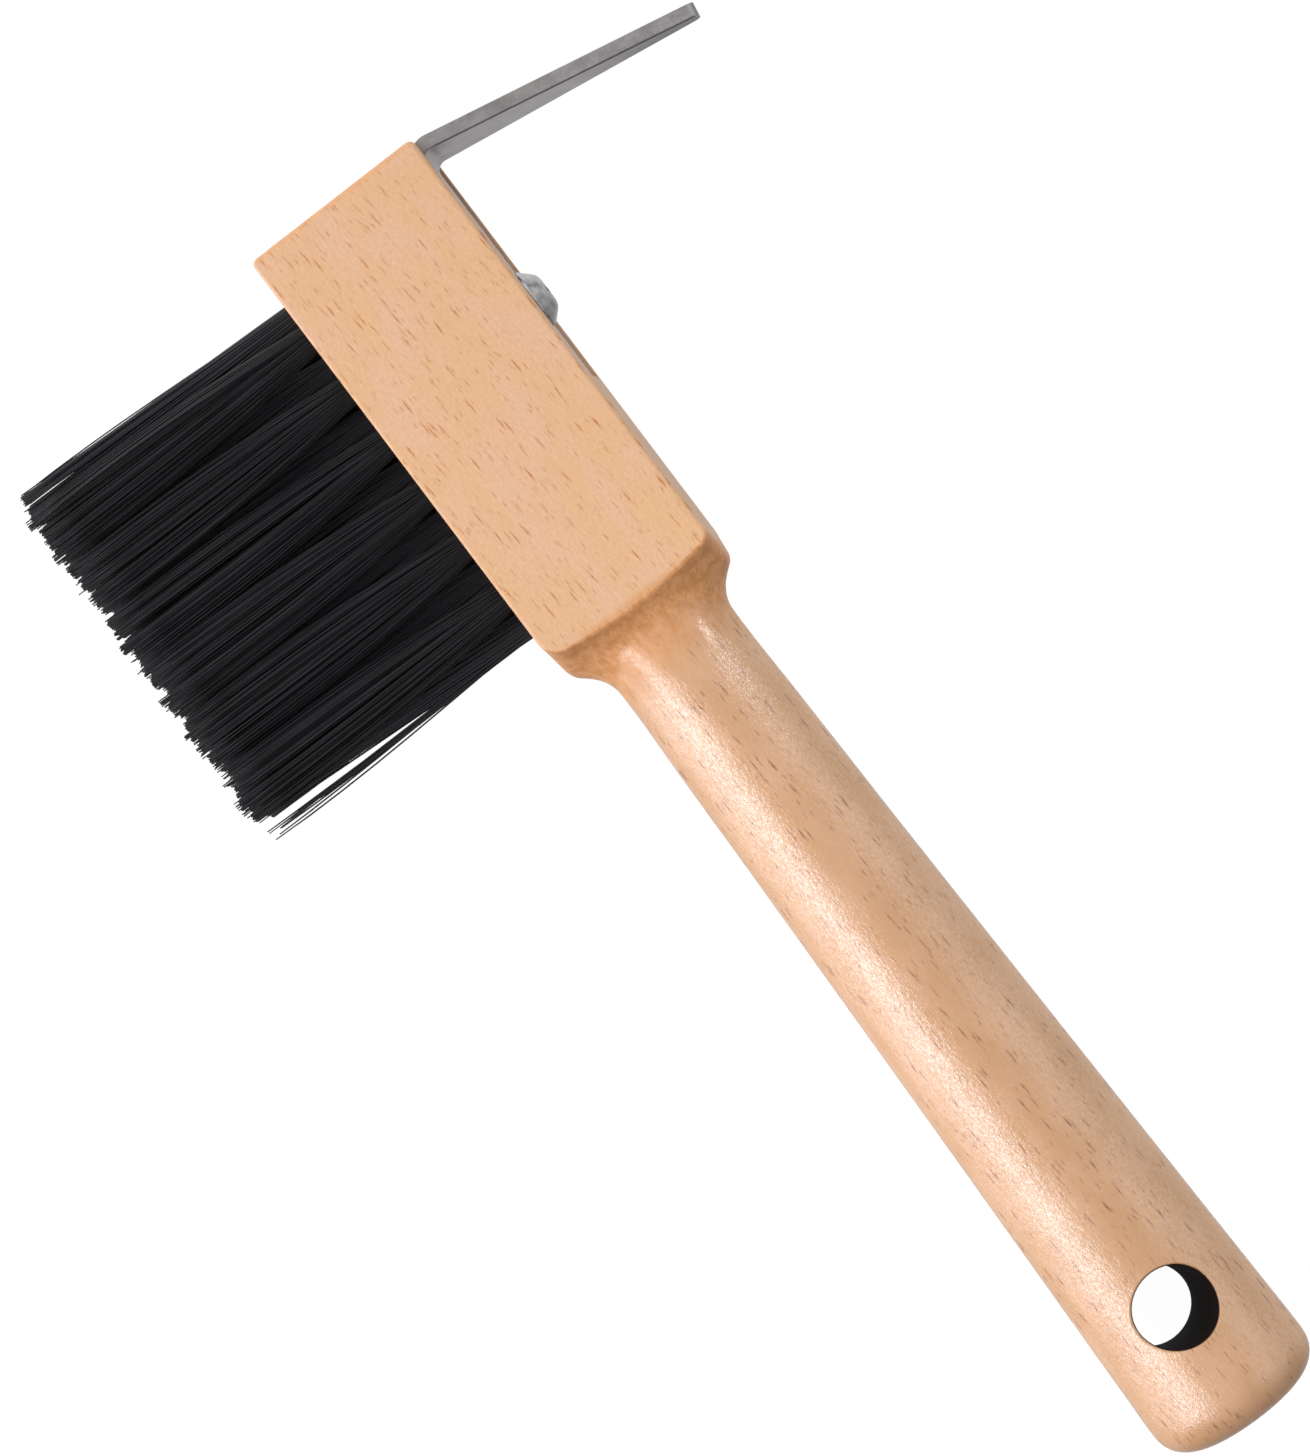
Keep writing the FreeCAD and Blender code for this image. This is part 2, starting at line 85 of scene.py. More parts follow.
# The camera looks down on a broad face, from a little to the hook's side of it.
CAMERA_OFFSET = Vector((4.4, 50.0, 700.0)) * MM
AIM_OFFSET = Vector((-23.6, -7.1, 0.0)) * MM
CAMERA_LENS = 109.4
SENSOR_WIDTH = 36.0
PICTURE_TURN = math.radians(52.96)

# Grain lines climb a little along the wood, sway slowly and ripple finely.
GRAIN_SLOPE = 0.06
GRAIN_SWAY = 1.6 * MM
GRAIN_RIPPLE = 0.35 * MM

# Wood tones, in linear red, green and blue. A pair is the two ends of a mix.
HEAD_TONES = (0.71, 0.43, 0.236), (0.715, 0.443, 0.283)
GRIP_TONES = (0.59, 0.317, 0.149), (0.655, 0.372, 0.203)
MARK_TONES = (0.47, 0.17, 0.055), (0.26, 0.09, 0.028)
CUT_AND_SHADE_TONES = (0.56, 0.245, 0.085), (0.69, 0.34, 0.148)
FIBRE_TONE = (0.50, 0.26, 0.12)
MOTTLE_TONE = (0.52, 0.28, 0.13)
VESSEL_TONE = (0.38, 0.16, 0.055)
BACK_SHADE_TONE = (0.42, 0.25, 0.15)
BORE_SHADE_TONE = (0.006, 0.0015, 0.001)

# Steel, zinc and wire tones.
STEEL_TONES = (0.40, 0.38, 0.39), (0.56, 0.545, 0.575)
BROWNED_TONE = (0.46, 0.42, 0.38)
SCRATCH_TONE = (0.27, 0.255, 0.26)
SPECK_TONE = (0.24, 0.22, 0.22)
SHEARED_TONE = (0.27, 0.25, 0.25)
BURR_AND_SHADE_TONE = (0.05, 0.042, 0.045)
INNER_TONE = (0.68, 0.66, 0.71)
UPPER_SHADE_TONE = (0.13, 0.12, 0.125)
ZINC_TONES = (0.34, 0.335, 0.34), (0.50, 0.49, 0.49)
WIRE_TONES = (0.45, 0.45, 0.46), (0.62, 0.62, 0.63)

# Filament tones: outer rows, inner rows lifted by painted light, tips darkened by painted shade,
# and dust.
FILAMENT_TONES = (0.0095, 0.0095, 0.0105), (0.0145, 0.0145, 0.017)
INNER_ROWS_LIGHT_TONE = (0.034, 0.034, 0.039)
TIPS_SHADE_TONE = (0.003, 0.003, 0.0035)
DUST_TONE = (0.10, 0.095, 0.09)

# One filament: a thin tube that narrows at its tip and bows a little.
FILAMENT_RADIUS = 0.14 * MM
FILAMENT_THINNEST, FILAMENT_THICKEST = 0.88, 1.1
FILAMENT_SIDES = 5
FILAMENT_RINGS = 10
TIP_NARROWING = 0.75
BOW_MM = 0.3

# One tuft. Its filaments fan out soon after the hole, and their tips gather into uneven clumps.
FILAMENTS_PER_TUFT = 230
ROOTED_DEPTH_SHARE = 0.85
ROOT_RADIUS = 2.3 * MM
TIP_SPREAD = 5.2 * MM
TIP_DEPTH = 4.2 * MM
TIP_JITTER_X = 0.35 * MM
TIP_JITTER_Z = 0.3 * MM
TIP_LEAN = -0.35 * MM
LEAST_LEAN, MOST_LEAN = 0.2, 1.8
FAN_POWER = 2.6
CLUMPS_PER_TUFT = 16
CLUMP_TURN = 0.3
CLUMP_PULL = 0.35
CLUMP_UNEVENNESS = 2.0 * MM
TIP_UNEVENNESS = 0.3 * MM
STRAY_SHARE = 0.015
STRAY_REACH = 1.6 * MM
STRAY_EXTRA = 1.0 * MM
GOLDEN_ANGLE = math.pi * (3 - math.sqrt(5))

# The two outermost tufts fan out more evenly. The last one leans in, and leaves some filaments
# standing apart.
OUTER_FAN_POWER = 1.2
FIRST_TUFT_SPREAD = 4.1 * MM
END_TUFT_LEAN = -3.7 * MM
END_TUFT_SPREAD = 3.0 * MM
END_STRAY_SHARE = 0.16
END_STRAY_SIDE = 0.4
END_STRAY_NEAR = 1.2 * MM
END_STRAY_FAR = 3.4 * MM
END_STRAY_UNEVENNESS = 5

# Partings in the tips: place along the head as a share of it, half width, and how much shorter
# the tips are there.
PARTINGS = [
    (0.38, 0.5 * MM, 2.4 * MM),
    (0.80, 0.2 * MM, 1.6 * MM),
    (0.975, 0.2 * MM, 1.5 * MM),
]

FLOOR_HALF = 4.0
FLOOR_GAP = 0.1 * MM
FLOOR_GLOW = 0.965
KEY_COLOUR = (0.98, 0.98, 1.05)
NECK_SIDE = CENTRE + Vector((-30.6, 9.1, 7.5)) * MM


# ---------------------------------------------------------------- nodes


def new_material(name):
    """A new material, with its tree and its Principled shader."""
    material = bpy.data.materials.new(name)
    material.use_nodes = True
    tree = material.node_tree
    return material, tree, tree.nodes["Principled BSDF"]


def feed(tree, socket, value):
    """Links a socket to another one, or sets its own value."""
    if isinstance(value, bpy.types.NodeSocket):
        tree.links.new(value, socket)
    elif isinstance(value, tuple) and len(value) == 3 and socket.type == "RGBA":
        socket.default_value = (*value, 1.0)
    else:
        socket.default_value = value


def add(tree, kind, inputs, **settings):
    """Adds a node with its settings and its inputs, by name or number."""
    item = tree.nodes.new(kind)
    for name, value in settings.items():
        setattr(item, name, value)
    for key, value in inputs.items():
        feed(tree, item.inputs[key], value)
    return item


def place(tree):
    """The point in the frame's own axes, in metres."""
    return add(tree, "ShaderNodeTexCoord", {}).outputs["Object"]


def facing(tree):
    """The way that the surface faces."""
    return add(tree, "ShaderNodeNewGeometry", {}).outputs["Normal"]


def axes(tree, vector):
    """A vector's X, Y and Z."""
    return add(tree, "ShaderNodeSeparateXYZ", {0: vector}).outputs


def calc(tree, operation, *values):
    """One step of arithmetic."""
    return add(tree, "ShaderNodeMath", dict(enumerate(values)), operation=operation).outputs[0]


def product(tree, value, *factors):
    """A value times each of the factors."""
    for factor in factors:
        value = calc(tree, "MULTIPLY", value, factor)
    return value


def remainder(tree, share):
    """What a share leaves of one."""
    return calc(tree, "SUBTRACT", 1.0, share)


def vector_calc(tree, operation, *values):
    """One step of vector arithmetic."""
    item = add(tree, "ShaderNodeVectorMath", dict(enumerate(values)), operation=operation)
    return item.outputs["Value" if operation in ("LENGTH", "DOT_PRODUCT") else "Vector"]


def ramp(tree, value, low, high, to_low=0.0, to_high=1.0):
    """A smooth step from one value to another while the input goes from low to high."""
    inputs = {
        "Value": value,
        "From Min": low,
        "From Max": high,
        "To Min": to_low,
        "To Max": to_high,
    }
    return add(tree, "ShaderNodeMapRange", inputs, interpolation_type="SMOOTHSTEP").outputs[0]


def cells(tree, point, *sizes_mm):
    """The point, counted in cells of these sizes along X, Y and Z."""
    return vector_calc(tree, "MULTIPLY", point, tuple(1 / (size * MM) for size in sizes_mm))


def noise(tree, point, *sizes_mm, detail=2.0, roughness=0.5):
    """Soft noise with spots of these sizes along X, Y and Z."""
    inputs = {
        "Vector": cells(tree, point, *sizes_mm),
        "Scale": 1.0,
        "Detail": detail,
        "Roughness": roughness,
    }
    return add(tree, "ShaderNodeTexNoise", inputs).outputs["Fac"]


def mix(tree, share, first, second):
    """The first colour, turned into the second one as the share goes from 0 to 1."""
    return add(tree, "ShaderNodeMix", {0: share, 6: first, 7: second}, data_type="RGBA").outputs[2]


def bump(tree, height, depth_mm, strength=1.0, normal=None):
    """A normal for small relief of this depth, on top of another normal."""
    inputs = {"Height": height, "Distance": depth_mm * MM, "Strength": strength}
    if normal is not None:
        inputs["Normal"] = normal
    return add(tree, "ShaderNodeBump", inputs).outputs["Normal"]


# ---------------------------------------------------------------- wood


def grain_space(tree, point, along):
    """The point, shifted so that straight lines along X become grain lines."""
    sway = calc(tree, "SUBTRACT", noise(tree, point, 16, 5, 5, detail=1.0), 0.5)
    ripple = calc(tree, "SUBTRACT", noise(tree, point, 1.3, 0.6, 0.6, detail=1.0), 0.5)
    sway, ripple = product(tree, sway, GRAIN_SWAY), product(tree, ripple, GRAIN_RIPPLE)
    drift = calc(tree, "ADD", sway, ripple)
    climb = calc(tree, "ADD", drift, product(tree, along, -GRAIN_SLOPE))
    shift = add(tree, "ShaderNodeCombineXYZ", {"Y": climb, "Z": drift}).outputs[0]
    return vector_calc(tree, "ADD", point, shift)


def cut_and_shade_share(tree, along, grip):
    """Share of wood cut across its fibres, with painted shade: most at the shoulder and round the
    tip.
    """
    at_tip = ramp(tree, along, NECK_X, WOOD_HIGH.x - 20 * MM)
    lowest = ramp(tree, at_tip, 0, 1, 0.03, 0.3)
    highest = ramp(tree, at_tip, 0, 1, 0.34, 1.0)
    lengthwise = calc(tree, "ABSOLUTE", axes(tree, facing(tree))["X"])
    cut = ramp(tree, lengthwise, lowest, highest)
    # Painted shade: the shoulder's cove is also darkened by its place along the wood.
    on_shoulder = ramp(tree, along, NECK_X + 4 * MM, NECK_X - 5 * MM)
    on_shoulder = product(tree, on_shoulder, ramp(tree, grip, 0, 0.1), 0.8)
    off_neck = calc(tree, "ABSOLUTE", calc(tree, "SUBTRACT", along, NECK_X))
    fade = ramp(tree, off_neck, 20 * MM, 40 * MM, 1.0, 0.5)
    return product(tree, calc(tree, "MAXIMUM", cut, on_shoulder), fade)


def cut_and_shade_tone(tree, point):
    """Wood cut across its fibres takes more stain and shows its vessels; its darkness is partly
    painted shade.
    """
    stain = noise(tree, point, 2.4, 1.6, 1.6, detail=4.0, roughness=0.65)
    vessels = noise(tree, point, 1.2, 0.3, 0.3)
    tone = mix(tree, ramp(tree, stain, 0.34, 0.66), *CUT_AND_SHADE_TONES)
    return mix(tree, ramp(tree, vessels, 0.5, 0.72, 0.0, 0.35), tone, VESSEL_TONE)


def flecks(tree, point, length, width, depth, reach, rarest):
    """Short dashes along the grain, one to a cell: how strongly each point is marked."""
    spots = add(
        tree,
        "ShaderNodeTexVoronoi",
        {"Vector": cells(tree, point, length, width, depth), "Scale": 1.0, "Randomness": 1.0},
        feature="F1",
    )
    chance = add(tree, "ShaderNodeSeparateColor", {0: spots.outputs["Color"]}).outputs[0]
    inside = ramp(tree, spots.outputs["Distance"], reach, reach * 0.25)
    shown = ramp(tree, chance, rarest, 0.7)
    broken = ramp(tree, noise(tree, point, 0.8, 0.25, 0.25), 0.3, 0.55, 0.35, 1.0)
    return product(tree, inside, shown, broken)


def ray_marks(tree, grain, cut_and_shade):
    """The dark ends of beech rays, large and small, which show only along the grain."""
    large = flecks(tree, grain, length=6.6, width=0.76, depth=2.2, reach=0.31, rarest=0.05)
    small = flecks(tree, grain, length=3.2, width=0.58, depth=1.7, reach=0.30, rarest=0.0)
    marks = calc(tree, "MAXIMUM", large, product(tree, small, 0.75))
    return product(tree, marks, remainder(tree, cut_and_shade))


def bore_share(tree, point):
    """One on the wall of the hanging hole, and zero elsewhere."""
    start, axis = tuple(HANGING["pos_m"]), tuple(HANGING["axis"])
    offset = vector_calc(tree, "SUBTRACT", point, start)
    off_axis = vector_calc(tree, "LENGTH", vector_calc(tree, "CROSS_PRODUCT", offset, axis))
    radius = HANGING["dims"]["r_mm"] * MM
    return ramp(tree, off_axis, radius + 0.35 * MM, radius + 0.05 * MM)


def varnish(tree, shader, point, along, grip, bore, pores):
    """A clear coat with an orange peel: full on the grip, thin on the head and at the neck."""
    full = product(tree, ramp(tree, grip, 0, 1, 0.45, 1.0), remainder(tree, bore))
    patchy = ramp(tree, noise(tree, point, 0.6, 0.32, 0.32), 0.36, 0.64, 0.45, 1.0)
    thinned = ramp(tree, along, NECK_X - 1 * MM, NECK_X + 7 * MM, 0.45, 1.0)
    feed(tree, shader.inputs["Coat Weight"], product(tree, full, patchy, thinned))
    shader.inputs["Coat Roughness"].default_value = 0.18
    shader.inputs["Coat IOR"].default_value = 2.25
    peel = noise(tree, point, 0.9, 0.6, 0.6, detail=4.0, roughness=0.65)
    level = ramp(tree, along, NECK_X, NECK_X + 5 * MM, 0.3, 1.0)
    feed(tree, shader.inputs["Coat Normal"], bump(tree, peel, 0.12, level, pores))


def make_beech():
    """Steamed beech under clear varnish, satin on the head and glossier on the grip."""
    material, tree, shader = new_material("beech")
    point = place(tree)
    along = axes(tree, point)["X"]
    grip = ramp(tree, along, SHOULDER_X - 1 * MM, NECK_X)
    grain = grain_space(tree, point, along)
    cut_and_shade = cut_and_shade_share(tree, along, grip)
    marks = ray_marks(tree, grain, cut_and_shade)
    bore = bore_share(tree, point)

    patches = noise(tree, grain, 13, 5, 5, detail=3.0)
    head_tone = mix(tree, ramp(tree, patches, 0.36, 0.66), *HEAD_TONES)
    grip_tone = mix(tree, ramp(tree, patches, 0.34, 0.68), *GRIP_TONES)
    tone = mix(tree, grip, head_tone, grip_tone)
    fibres = noise(tree, grain, 4, 0.28, 0.28, detail=3.0)
    tone = mix(tree, ramp(tree, fibres, 0.3, 0.75, 0.0, 0.16), tone, FIBRE_TONE)
    mottle = noise(tree, point, 0.8, 0.4, 0.4, detail=3.0)
    tone = mix(tree, ramp(tree, mottle, 0.32, 0.68, 0.0, 0.24), tone, MOTTLE_TONE)
    tone = mix(tree, product(tree, marks, 0.9), tone, mix(tree, grip, *MARK_TONES))
    # End grain, darker partly as real stain and partly as painted shade where the surface faces
    # away from the light.
    tone = mix(tree, cut_and_shade, tone, cut_and_shade_tone(tree, point))
    # Painted shade: the head's back face is painted darker, where less light falls on it.
    on_back = ramp(tree, axes(tree, facing(tree))["Y"], 0.9, 0.99)
    back_shade = product(tree, on_back, remainder(tree, grip), 0.5)
    tone = mix(tree, back_shade, tone, BACK_SHADE_TONE)
    # Painted shade: the hanging hole's wall is painted near-black.
    feed(tree, shader.inputs["Base Color"], mix(tree, bore, tone, BORE_SHADE_TONE))

    rough = ramp(tree, fibres, 0.3, 0.7, 0.42, 0.52)
    rough = calc(tree, "ADD", rough, product(tree, bore, 0.45))
    feed(tree, shader.inputs["Roughness"], rough)
    shader.inputs["Specular IOR Level"].default_value = 0.08
    pores = bump(tree, remainder(tree, marks), 0.02, 0.5)
    feed(tree, shader.inputs["Normal"], bump(tree, fibres, 0.012, 0.35, pores))
    varnish(tree, shader, point, along, grip, bore, pores)
    return material


# ---------------------------------------------------------------- metal


def arm_plane():
    """A point on the inner face of the hook's arm, and its normal."""
    mesh = frame["nodes"][BLADE].data
    above_wood = WOOD_HIGH.y + 5 * MM
    flat = [f for f in mesh.polygons if f.normal.x > 0.9 and f.center.y > above_wood]
    largest = max(flat, key=lambda f: f.area)
    return tuple(largest.center), tuple(largest.normal)


def burr_and_shade_share(tree, point):
    """One in a thin band under the arm's inner face, where shearing rolled the edge over and
    painted shade darkens it.
    """
    on_plane, plane_normal = arm_plane()
    from_plane = vector_calc(tree, "SUBTRACT", point, on_plane)
    inward = vector_calc(tree, "DOT_PRODUCT", from_plane, plane_normal)
    return ramp(tree, inward, -0.42 * MM, -0.12 * MM)


def make_steel():
    """Dull rolled plate with scale and fine scratches, a dark line where it was sheared that is
    partly burr and partly painted shade, and painted shade on the arm's inner face near its top.
    """
    material, tree, shader = new_material("steel_plate")
    point = place(tree)
    height = axes(tree, point)["Y"]
    on_arm = ramp(tree, height, WOOD_HIGH.y - 1 * MM, WOOD_HIGH.y + 3 * MM)
    along_leg = noise(tree, point, 6, 0.12, 0.12, detail=3.0)
    along_arm = noise(tree, point, 0.12, 6, 0.12, detail=3.0)
    lines = mix(tree, on_arm, along_leg, along_arm)
    smudges = noise(tree, point, 3.5, 3.5, 3.5, detail=4.0, roughness=0.65)
    elsewhere = vector_calc(tree, "ADD", point, (0.03, 0.01, 0.02))
    tints = noise(tree, elsewhere, 4, 4, 4)
    specks = noise(tree, point, 0.42, 0.42, 0.42, detail=3.0, roughness=0.7)
    sheared = ramp(tree, calc(tree, "ABSOLUTE", axes(tree, facing(tree))["Z"]), 0.6, 0.9)
    rolled = remainder(tree, sheared)

    tone = mix(tree, ramp(tree, smudges, 0.33, 0.68), *STEEL_TONES)
    tone = mix(tree, ramp(tree, tints, 0.42, 0.62, 0.0, 0.55), tone, BROWNED_TONE)
    tone = mix(tree, ramp(tree, lines, 0.45, 0.75, 0.0, 0.3), tone, SCRATCH_TONE)
    tone = mix(tree, ramp(tree, specks, 0.5, 0.72, 0.0, 0.55), tone, SPECK_TONE)
    tone = mix(tree, product(tree, sheared, 0.42), tone, SHEARED_TONE)
    # Painted shade: a dark line along the arm's sheared edge, partly a real burr.
    burr_and_shade = product(tree, burr_and_shade_share(tree, point), sheared, on_arm, 0.85)
    tone = mix(tree, burr_and_shade, tone, BURR_AND_SHADE_TONE)
    tone = mix(tree, product(tree, on_arm, rolled, 0.4), tone, INNER_TONE)
    # Painted shade: the arm's inner face is painted darker towards its top.
    upper_shade = ramp(tree, height, WOOD_HIGH.y + 20 * MM, WOOD_HIGH.y + 44 * MM, 0.0, 0.6)
    tone = mix(tree, product(tree, upper_shade, rolled), tone, UPPER_SHADE_TONE)
    feed(tree, shader.inputs["Base Color"], tone)
    shader.inputs["Metallic"].default_value = 1.0
    feed(tree, shader.inputs["Roughness"], ramp(tree, smudges, 0.3, 0.7, 0.38, 0.52))
    pitted = bump(tree, specks, 0.03, 0.5)
    feed(tree, shader.inputs["Normal"], bump(tree, lines, 0.01, 0.5, pitted))
    return material


def make_zinc():
    """Satin zinc plating on the screw, mottled where hands have worn it."""
    material, tree, shader = new_material("zinc_screw")
    mottle = noise(tree, place(tree), 1.2, 1.2, 1.2, detail=3.0)
    tone = mix(tree, ramp(tree, mottle, 0.35, 0.7), *ZINC_TONES)
    feed(tree, shader.inputs["Base Color"], tone)
    shader.inputs["Metallic"].default_value = 1.0
    feed(tree, shader.inputs["Roughness"], ramp(tree, mottle, 0.3, 0.7, 0.24, 0.4))
    feed(tree, shader.inputs["Normal"], bump(tree, mottle, 0.02, 0.3))
    return material


def make_wire():
    """Plain flat anchor wire, with drawing lines."""
    material, tree, shader = new_material("anchor_wire")
    lines = noise(tree, place(tree), 3, 0.1, 0.1)
    feed(tree, shader.inputs["Base Color"], mix(tree, lines, *WIRE_TONES))
    shader.inputs["Metallic"].default_value = 1.0
    feed(tree, shader.inputs["Roughness"], ramp(tree, lines, 0.3, 0.7, 0.3, 0.45))
    return material


# ---------------------------------------------------------------- bristles


def make_filament():
    """Black extruded filament with a faint sheen and a little dust; painted light pales the inner
    rows, painted shade darkens the tips.
    """
    material, tree, shader = new_material("black_filament")
    point = place(tree)
    down, depth = axes(tree, point)["Y"], axes(tree, point)["Z"]
    shade = noise(tree, point, 0.5, 9, 0.5)
    dust = noise(tree, point, 1.3, 1.3, 1.3, detail=3.0, roughness=0.7)
    tone = mix(tree, ramp(tree, shade, 0.35, 0.65), *FILAMENT_TONES)
    # Painted light: the inner rows are painted paler, lifting the shade between the tufts.
    off_middle = calc(tree, "ABSOLUTE", calc(tree, "SUBTRACT", depth, CENTRE.z))
    inner = ramp(tree, off_middle, 4.5 * MM, 1.5 * MM, 0.0, 0.85)
    tone = mix(tree, inner, tone, INNER_ROWS_LIGHT_TONE)
    # Painted shade: the filaments are painted darker towards their tips.
    tips_shade = ramp(tree, down, CAD_LOW.y + 16 * MM, CAD_LOW.y, 0.0, 0.5)
    tone = mix(tree, tips_shade, tone, TIPS_SHADE_TONE)
    tone = mix(tree, ramp(tree, dust, 0.66, 0.8, 0.0, 0.12), tone, DUST_TONE)
    feed(tree, shader.inputs["Base Color"], tone)
    feed(tree, shader.inputs["Roughness"], ramp(tree, shade, 0.3, 0.7, 0.45, 0.6))
    shader.inputs["Specular IOR Level"].default_value = 0.25
    return material


def filament_path(root, tip, lean, power, bow, depth):
    """Points down one filament, from its anchor in the hole to its tip.

    It fans out early, by the power, and leans evenly.
    """
    points = [root + Vector((0, depth, 0)), root]
    for step in range(1, FILAMENT_RINGS - 1):
        share = step / (FILAMENT_RINGS - 2)
        at = root.lerp(tip - lean, 1 - (1 - share) ** power) + lean * share
        at.y = root.y + (tip.y - root.y) * share
        points.append(at + bow * math.sin(share * math.pi) * share)
    return points


def add_filament(vertices, faces, path, radius, turn):
    """Adds one thin tube along a path, closed at both ends and narrower at its tip."""
    first = len(vertices)
    for number, at in enumerate(path):
        shrink = TIP_NARROWING if number == len(path) - 1 else 1.0
        for side in range(FILAMENT_SIDES):
            angle = turn + math.tau * side / FILAMENT_SIDES
            across = Vector((math.cos(angle), 0, math.sin(angle))) * radius * shrink
            vertices.append(at + across)
    for ring in range(len(path) - 1):
        for side in range(FILAMENT_SIDES):
            a = first + ring * FILAMENT_SIDES + side
            b = first + ring * FILAMENT_SIDES + (side + 1) % FILAMENT_SIDES
            faces.append((a, b, b + FILAMENT_SIDES, a + FILAMENT_SIDES))
    last = first + (len(path) - 1) * FILAMENT_SIDES
    faces.append(tuple(last + side for side in range(FILAMENT_SIDES)))
    faces.append(tuple(first + side for side in reversed(range(FILAMENT_SIDES))))


def part_tip(x):
    """Moves a tip's place along the head out of a parting. Returns how much shorter it is, too."""
    for share, half_width, shorter in PARTINGS:
        middle = WOOD_LOW.x + (SHOULDER_X - WOOD_LOW.x) * share
        off = x - middle
        if abs(off) < half_width * 2:
            side = 1 if off > 0 else -1
            near = 1 - abs(off) / (half_width * 2)
            return middle + side * (half_width + abs(off) / 2), shorter * near
    return x, 0.0


def make_clumps(chance, spread):
    """Where the tips of one tuft gather: across, up, and how much shorter they are there."""
    clumps = []
    for number in range(CLUMPS_PER_TUFT):
        angle = number * GOLDEN_ANGLE + chance.uniform(-CLUMP_TURN, CLUMP_TURN)
        out = spread * math.sqrt((number + 0.5) / CLUMPS_PER_TUFT)
        up = math.sin(angle) * out * TIP_DEPTH / spread
        clumps.append((math.cos(angle) * out, up, chance.uniform(0, CLUMP_UNEVENNESS)))
    return clumps


def gather_tip(chance, clumps, across, up, spread):
    """A tip's place, pulled towards its nearest clump, and how much shorter it is."""
    tip_x = across * spread + chance.gauss(0, TIP_JITTER_X)
    tip_z = up * TIP_DEPTH + chance.gauss(0, TIP_JITTER_Z)
    nearest = min(clumps, key=lambda c: (c[0] - tip_x) ** 2 + (c[1] - tip_z) ** 2)
    tip_x += (nearest[0] - tip_x) * CLUMP_PULL
    tip_z += (nearest[1] - tip_z) * CLUMP_PULL
    return tip_x, tip_z, nearest[2] + abs(chance.gauss(0, TIP_UNEVENNESS))


def make_tuft(node, material):
    """A bundle of filaments in place of one plain CAD tuft."""
    chance = random.Random(node)
    low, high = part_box(node)
    centre_x, centre_z = (low.x + high.x) / 2, (low.z + high.z) / 2
    face_y = WOOD_LOW.y
    depth = (high.y - face_y) * ROOTED_DEPTH_SHARE
    at_start = low.x == min(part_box(other)[0].x for other in TUFT_NODES)
    at_end = high.x == max(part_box(other)[1].x for other in TUFT_NODES)
    lean = END_TUFT_LEAN if at_end else TIP_LEAN * chance.uniform(LEAST_LEAN, MOST_LEAN)
    spread = END_TUFT_SPREAD if at_end else FIRST_TUFT_SPREAD if at_start else TIP_SPREAD
    power = OUTER_FAN_POWER if at_start or at_end else FAN_POWER
    clumps = make_clumps(chance, spread)
    vertices, faces = [], []
    for number in range(FILAMENTS_PER_TUFT):
        angle = number * GOLDEN_ANGLE
        out = math.sqrt((number + 0.5) / FILAMENTS_PER_TUFT)
        across, up = math.cos(angle) * out, math.sin(angle) * out
        root_x, root_z = centre_x + across * ROOT_RADIUS, centre_z + up * ROOT_RADIUS
        tip_x, tip_z, short = gather_tip(chance, clumps, across, up, spread)
        tip_x += lean
        draw = chance.random()
        if at_end and across > END_STRAY_SIDE and draw < END_STRAY_SHARE:
            tip_x = chance.uniform(END_STRAY_NEAR, END_STRAY_FAR)
            short *= chance.uniform(0, END_STRAY_UNEVENNESS)
        elif draw < STRAY_SHARE:
            tip_x += chance.uniform(-1, 1) * STRAY_REACH
            tip_z += chance.uniform(-1, 1) * STRAY_REACH
            short = max(0, short - STRAY_EXTRA)
        parted_x, shorter = part_tip(centre_x + tip_x)
        root = Vector((root_x, face_y, root_z))
        tip = Vector((parted_x, low.y + short + shorter, centre_z + tip_z))
        bow = Vector((chance.gauss(0, BOW_MM), 0, chance.gauss(0, BOW_MM))) * MM
        path = filament_path(root, tip, Vector((lean, 0, 0)), power, bow, depth)
        radius = FILAMENT_RADIUS * chance.uniform(FILAMENT_THINNEST, FILAMENT_THICKEST)
        add_filament(vertices, faces, path, radius, turn=chance.uniform(0, 1))
    mesh = bpy.data.meshes.new(node.replace("bristle_tuft", "filaments"))
    mesh.from_pydata(vertices, [], faces)
    mesh.polygons.foreach_set("use_smooth", [True] * len(faces))
    mesh.materials.append(material)
    mesh.update()
    piece = new_object(mesh.name, mesh)
    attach(piece, "root")
    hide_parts(node)


# ---------------------------------------------------------------- studio


def new_object(name, data):
    """A new object in the scene."""
    item = bpy.data.objects.new(name, data)
    bpy.context.scene.collection.objects.link(item)
    return item


def make_camera():
    """The camera, turned so that the handle runs down to the right."""
    location, aim = CENTRE + CAMERA_OFFSET, CENTRE + AIM_OFFSET
    forward = (aim - location).normalized()
    right = Vector((math.cos(PICTURE_TURN), math.sin(PICTURE_TURN), 0))
    right = (right - forward * right.dot(forward)).normalized()
    up = right.cross(forward)
    data = bpy.data.cameras.new("camera")
    data.sensor_width = SENSOR_WIDTH
    data.lens = CAMERA_LENS
    camera = new_object("camera", data)
    turned = Matrix((right, up, -forward)).transposed().to_4x4()
    turned.translation = location
    camera.matrix_world = turned
    bpy.context.scene.camera = camera


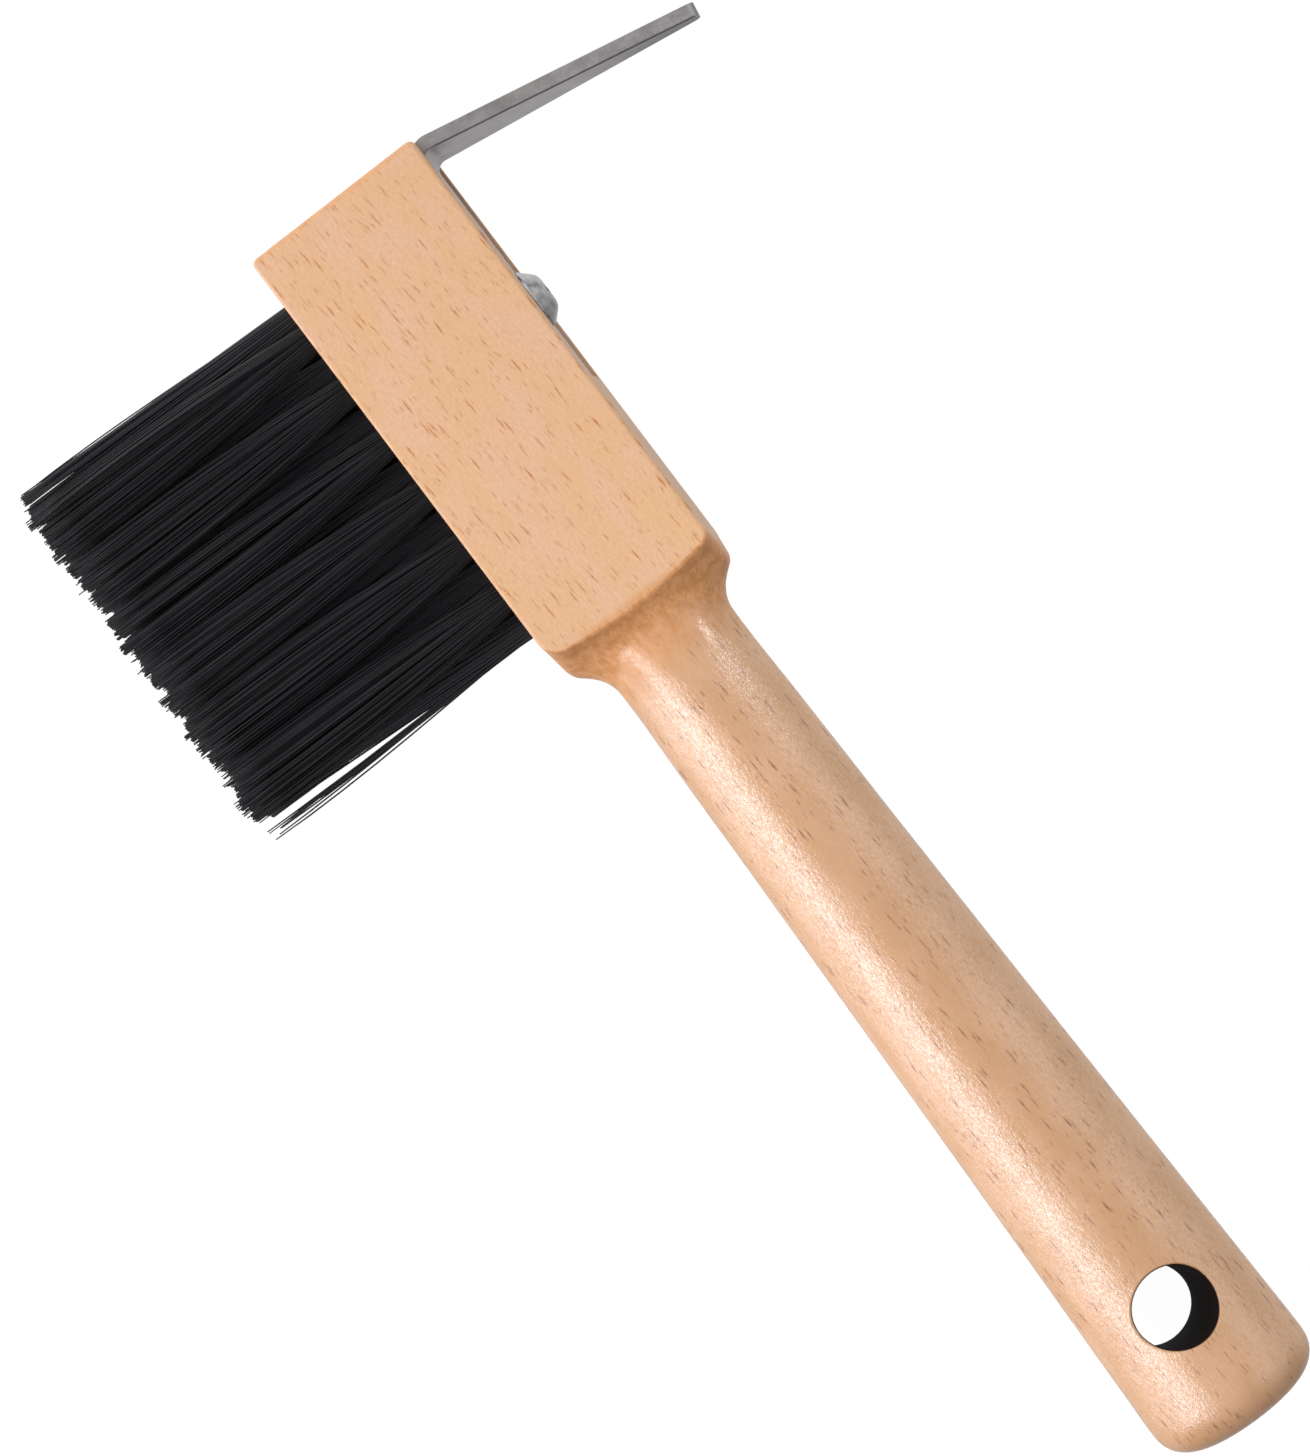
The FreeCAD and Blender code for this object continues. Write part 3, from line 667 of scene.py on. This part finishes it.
def make_floor():
    """A plain pale floor that glows, so that shadows on it stay light."""
    z = CAD_LOW.z - FLOOR_GAP
    signs = [(-1, -1), (1, -1), (1, 1), (-1, 1)]
    mesh = bpy.data.meshes.new("floor")
    mesh.from_pydata([(x * FLOOR_HALF, y * FLOOR_HALF, z) for x, y in signs], [], [(0, 1, 2, 3)])
    floor = new_object("floor", mesh)
    material, _tree, shader = new_material("floor_paper")
    shader.inputs["Base Color"].default_value = (0.07, 0.07, 0.07, 1)
    shader.inputs["Roughness"].default_value = 0.9
    shader.inputs["Specular IOR Level"].default_value = 0.1
    shader.inputs["Emission Color"].default_value = (1, 1, 1, 1)
    shader.inputs["Emission Strength"].default_value = FLOOR_GLOW
    mesh.materials.append(material)
    floor.visible_diffuse = False
    floor.visible_glossy = False


def make_light(
    name, azimuth, height, distance, length, width, power, colour=(1, 1, 1), aim=CENTRE
):
    """A soft box that faces its aim.

    Azimuth is in degrees from +X towards +Y, height in degrees above the floor, power in watts.
    """
    turn, rise = math.radians(azimuth), math.radians(height)
    flat = math.cos(rise)
    out = Vector((math.cos(turn) * flat, math.sin(turn) * flat, math.sin(rise)))
    data = bpy.data.lights.new(name, "AREA")
    data.shape = "RECTANGLE"
    data.size, data.size_y = length, width
    data.energy = power
    data.color = colour
    light = new_object(name, data)
    light.location = aim + out * distance
    light.visible_camera = False
    light.rotation_mode = "QUATERNION"
    light.rotation_quaternion = (-out).to_track_quat("-Z", "Y")


def make_world():
    """Room light. It is pale from below, and brighter on the hook's side and at the head's end.

    It is duller straight overhead, and beyond the handle's end.
    """
    world = bpy.data.worlds.new("studio")
    world.use_nodes = True
    tree = world.node_tree
    sky = tree.nodes["Background"]
    way = axes(tree, add(tree, "ShaderNodeTexCoord", {}).outputs["Generated"])
    x, y, z = (way[axis] for axis in "XYZ")
    even = ramp(tree, z, -0.3, 0.3, 0.75, 0.56)
    band = product(tree, ramp(tree, z, 0.1, 0.3), ramp(tree, z, 0.9, 0.78))
    fill = product(tree, ramp(tree, y, 0.2, 0.6), band, 0.55)
    dull = product(tree, ramp(tree, y, 0.08, 0.25), ramp(tree, z, 0.82, 0.92), 0.22)
    level = calc(tree, "SUBTRACT", calc(tree, "ADD", even, fill), dull)
    at_head = ramp(tree, x, -0.9, 0.0, 1.8, 1.0)
    at_handle = ramp(tree, x, 0.0, 0.9, 1.0, 0.4)
    lengthwise = product(tree, at_head, at_handle)
    feed(tree, sky.inputs["Strength"], product(tree, level, lengthwise))
    sky.inputs["Color"].default_value = (1.0, 1.0, 1.0, 1)
    bpy.context.scene.world = world


def make_lights():
    """A long soft box and a lower one beside the bristles, and a tiny light close to the neck."""
    make_light(
        "key",
        azimuth=262,
        height=45,
        distance=0.75,
        length=0.9,
        width=0.28,
        power=4.2,
        colour=KEY_COLOUR,
    )
    make_light(
        "low_key",
        azimuth=255,
        height=11,
        distance=0.75,
        length=0.9,
        width=0.5,
        power=2.3,
        colour=KEY_COLOUR,
    )
    make_light(
        "glint",
        azimuth=91.6,
        height=38.3,
        distance=0.06,
        length=0.002,
        width=0.010,
        power=0.0026,
        aim=NECK_SIDE,
    )


# ---------------------------------------------------------------- the scene


def dress(node, material):
    """Gives a CAD node one material."""
    slots = frame["nodes"][node].data.materials
    slots.clear()
    slots.append(material)


make_camera()
make_floor()
make_world()
make_lights()
bpy.context.scene.view_settings.view_transform = "Standard"

dress(WOOD, make_beech())
dress(BLADE, make_steel())
dress(SCREW, make_zinc())
dress(STAPLES, make_wire())
filament = make_filament()
for tuft in TUFT_NODES:
    make_tuft(tuft, filament)
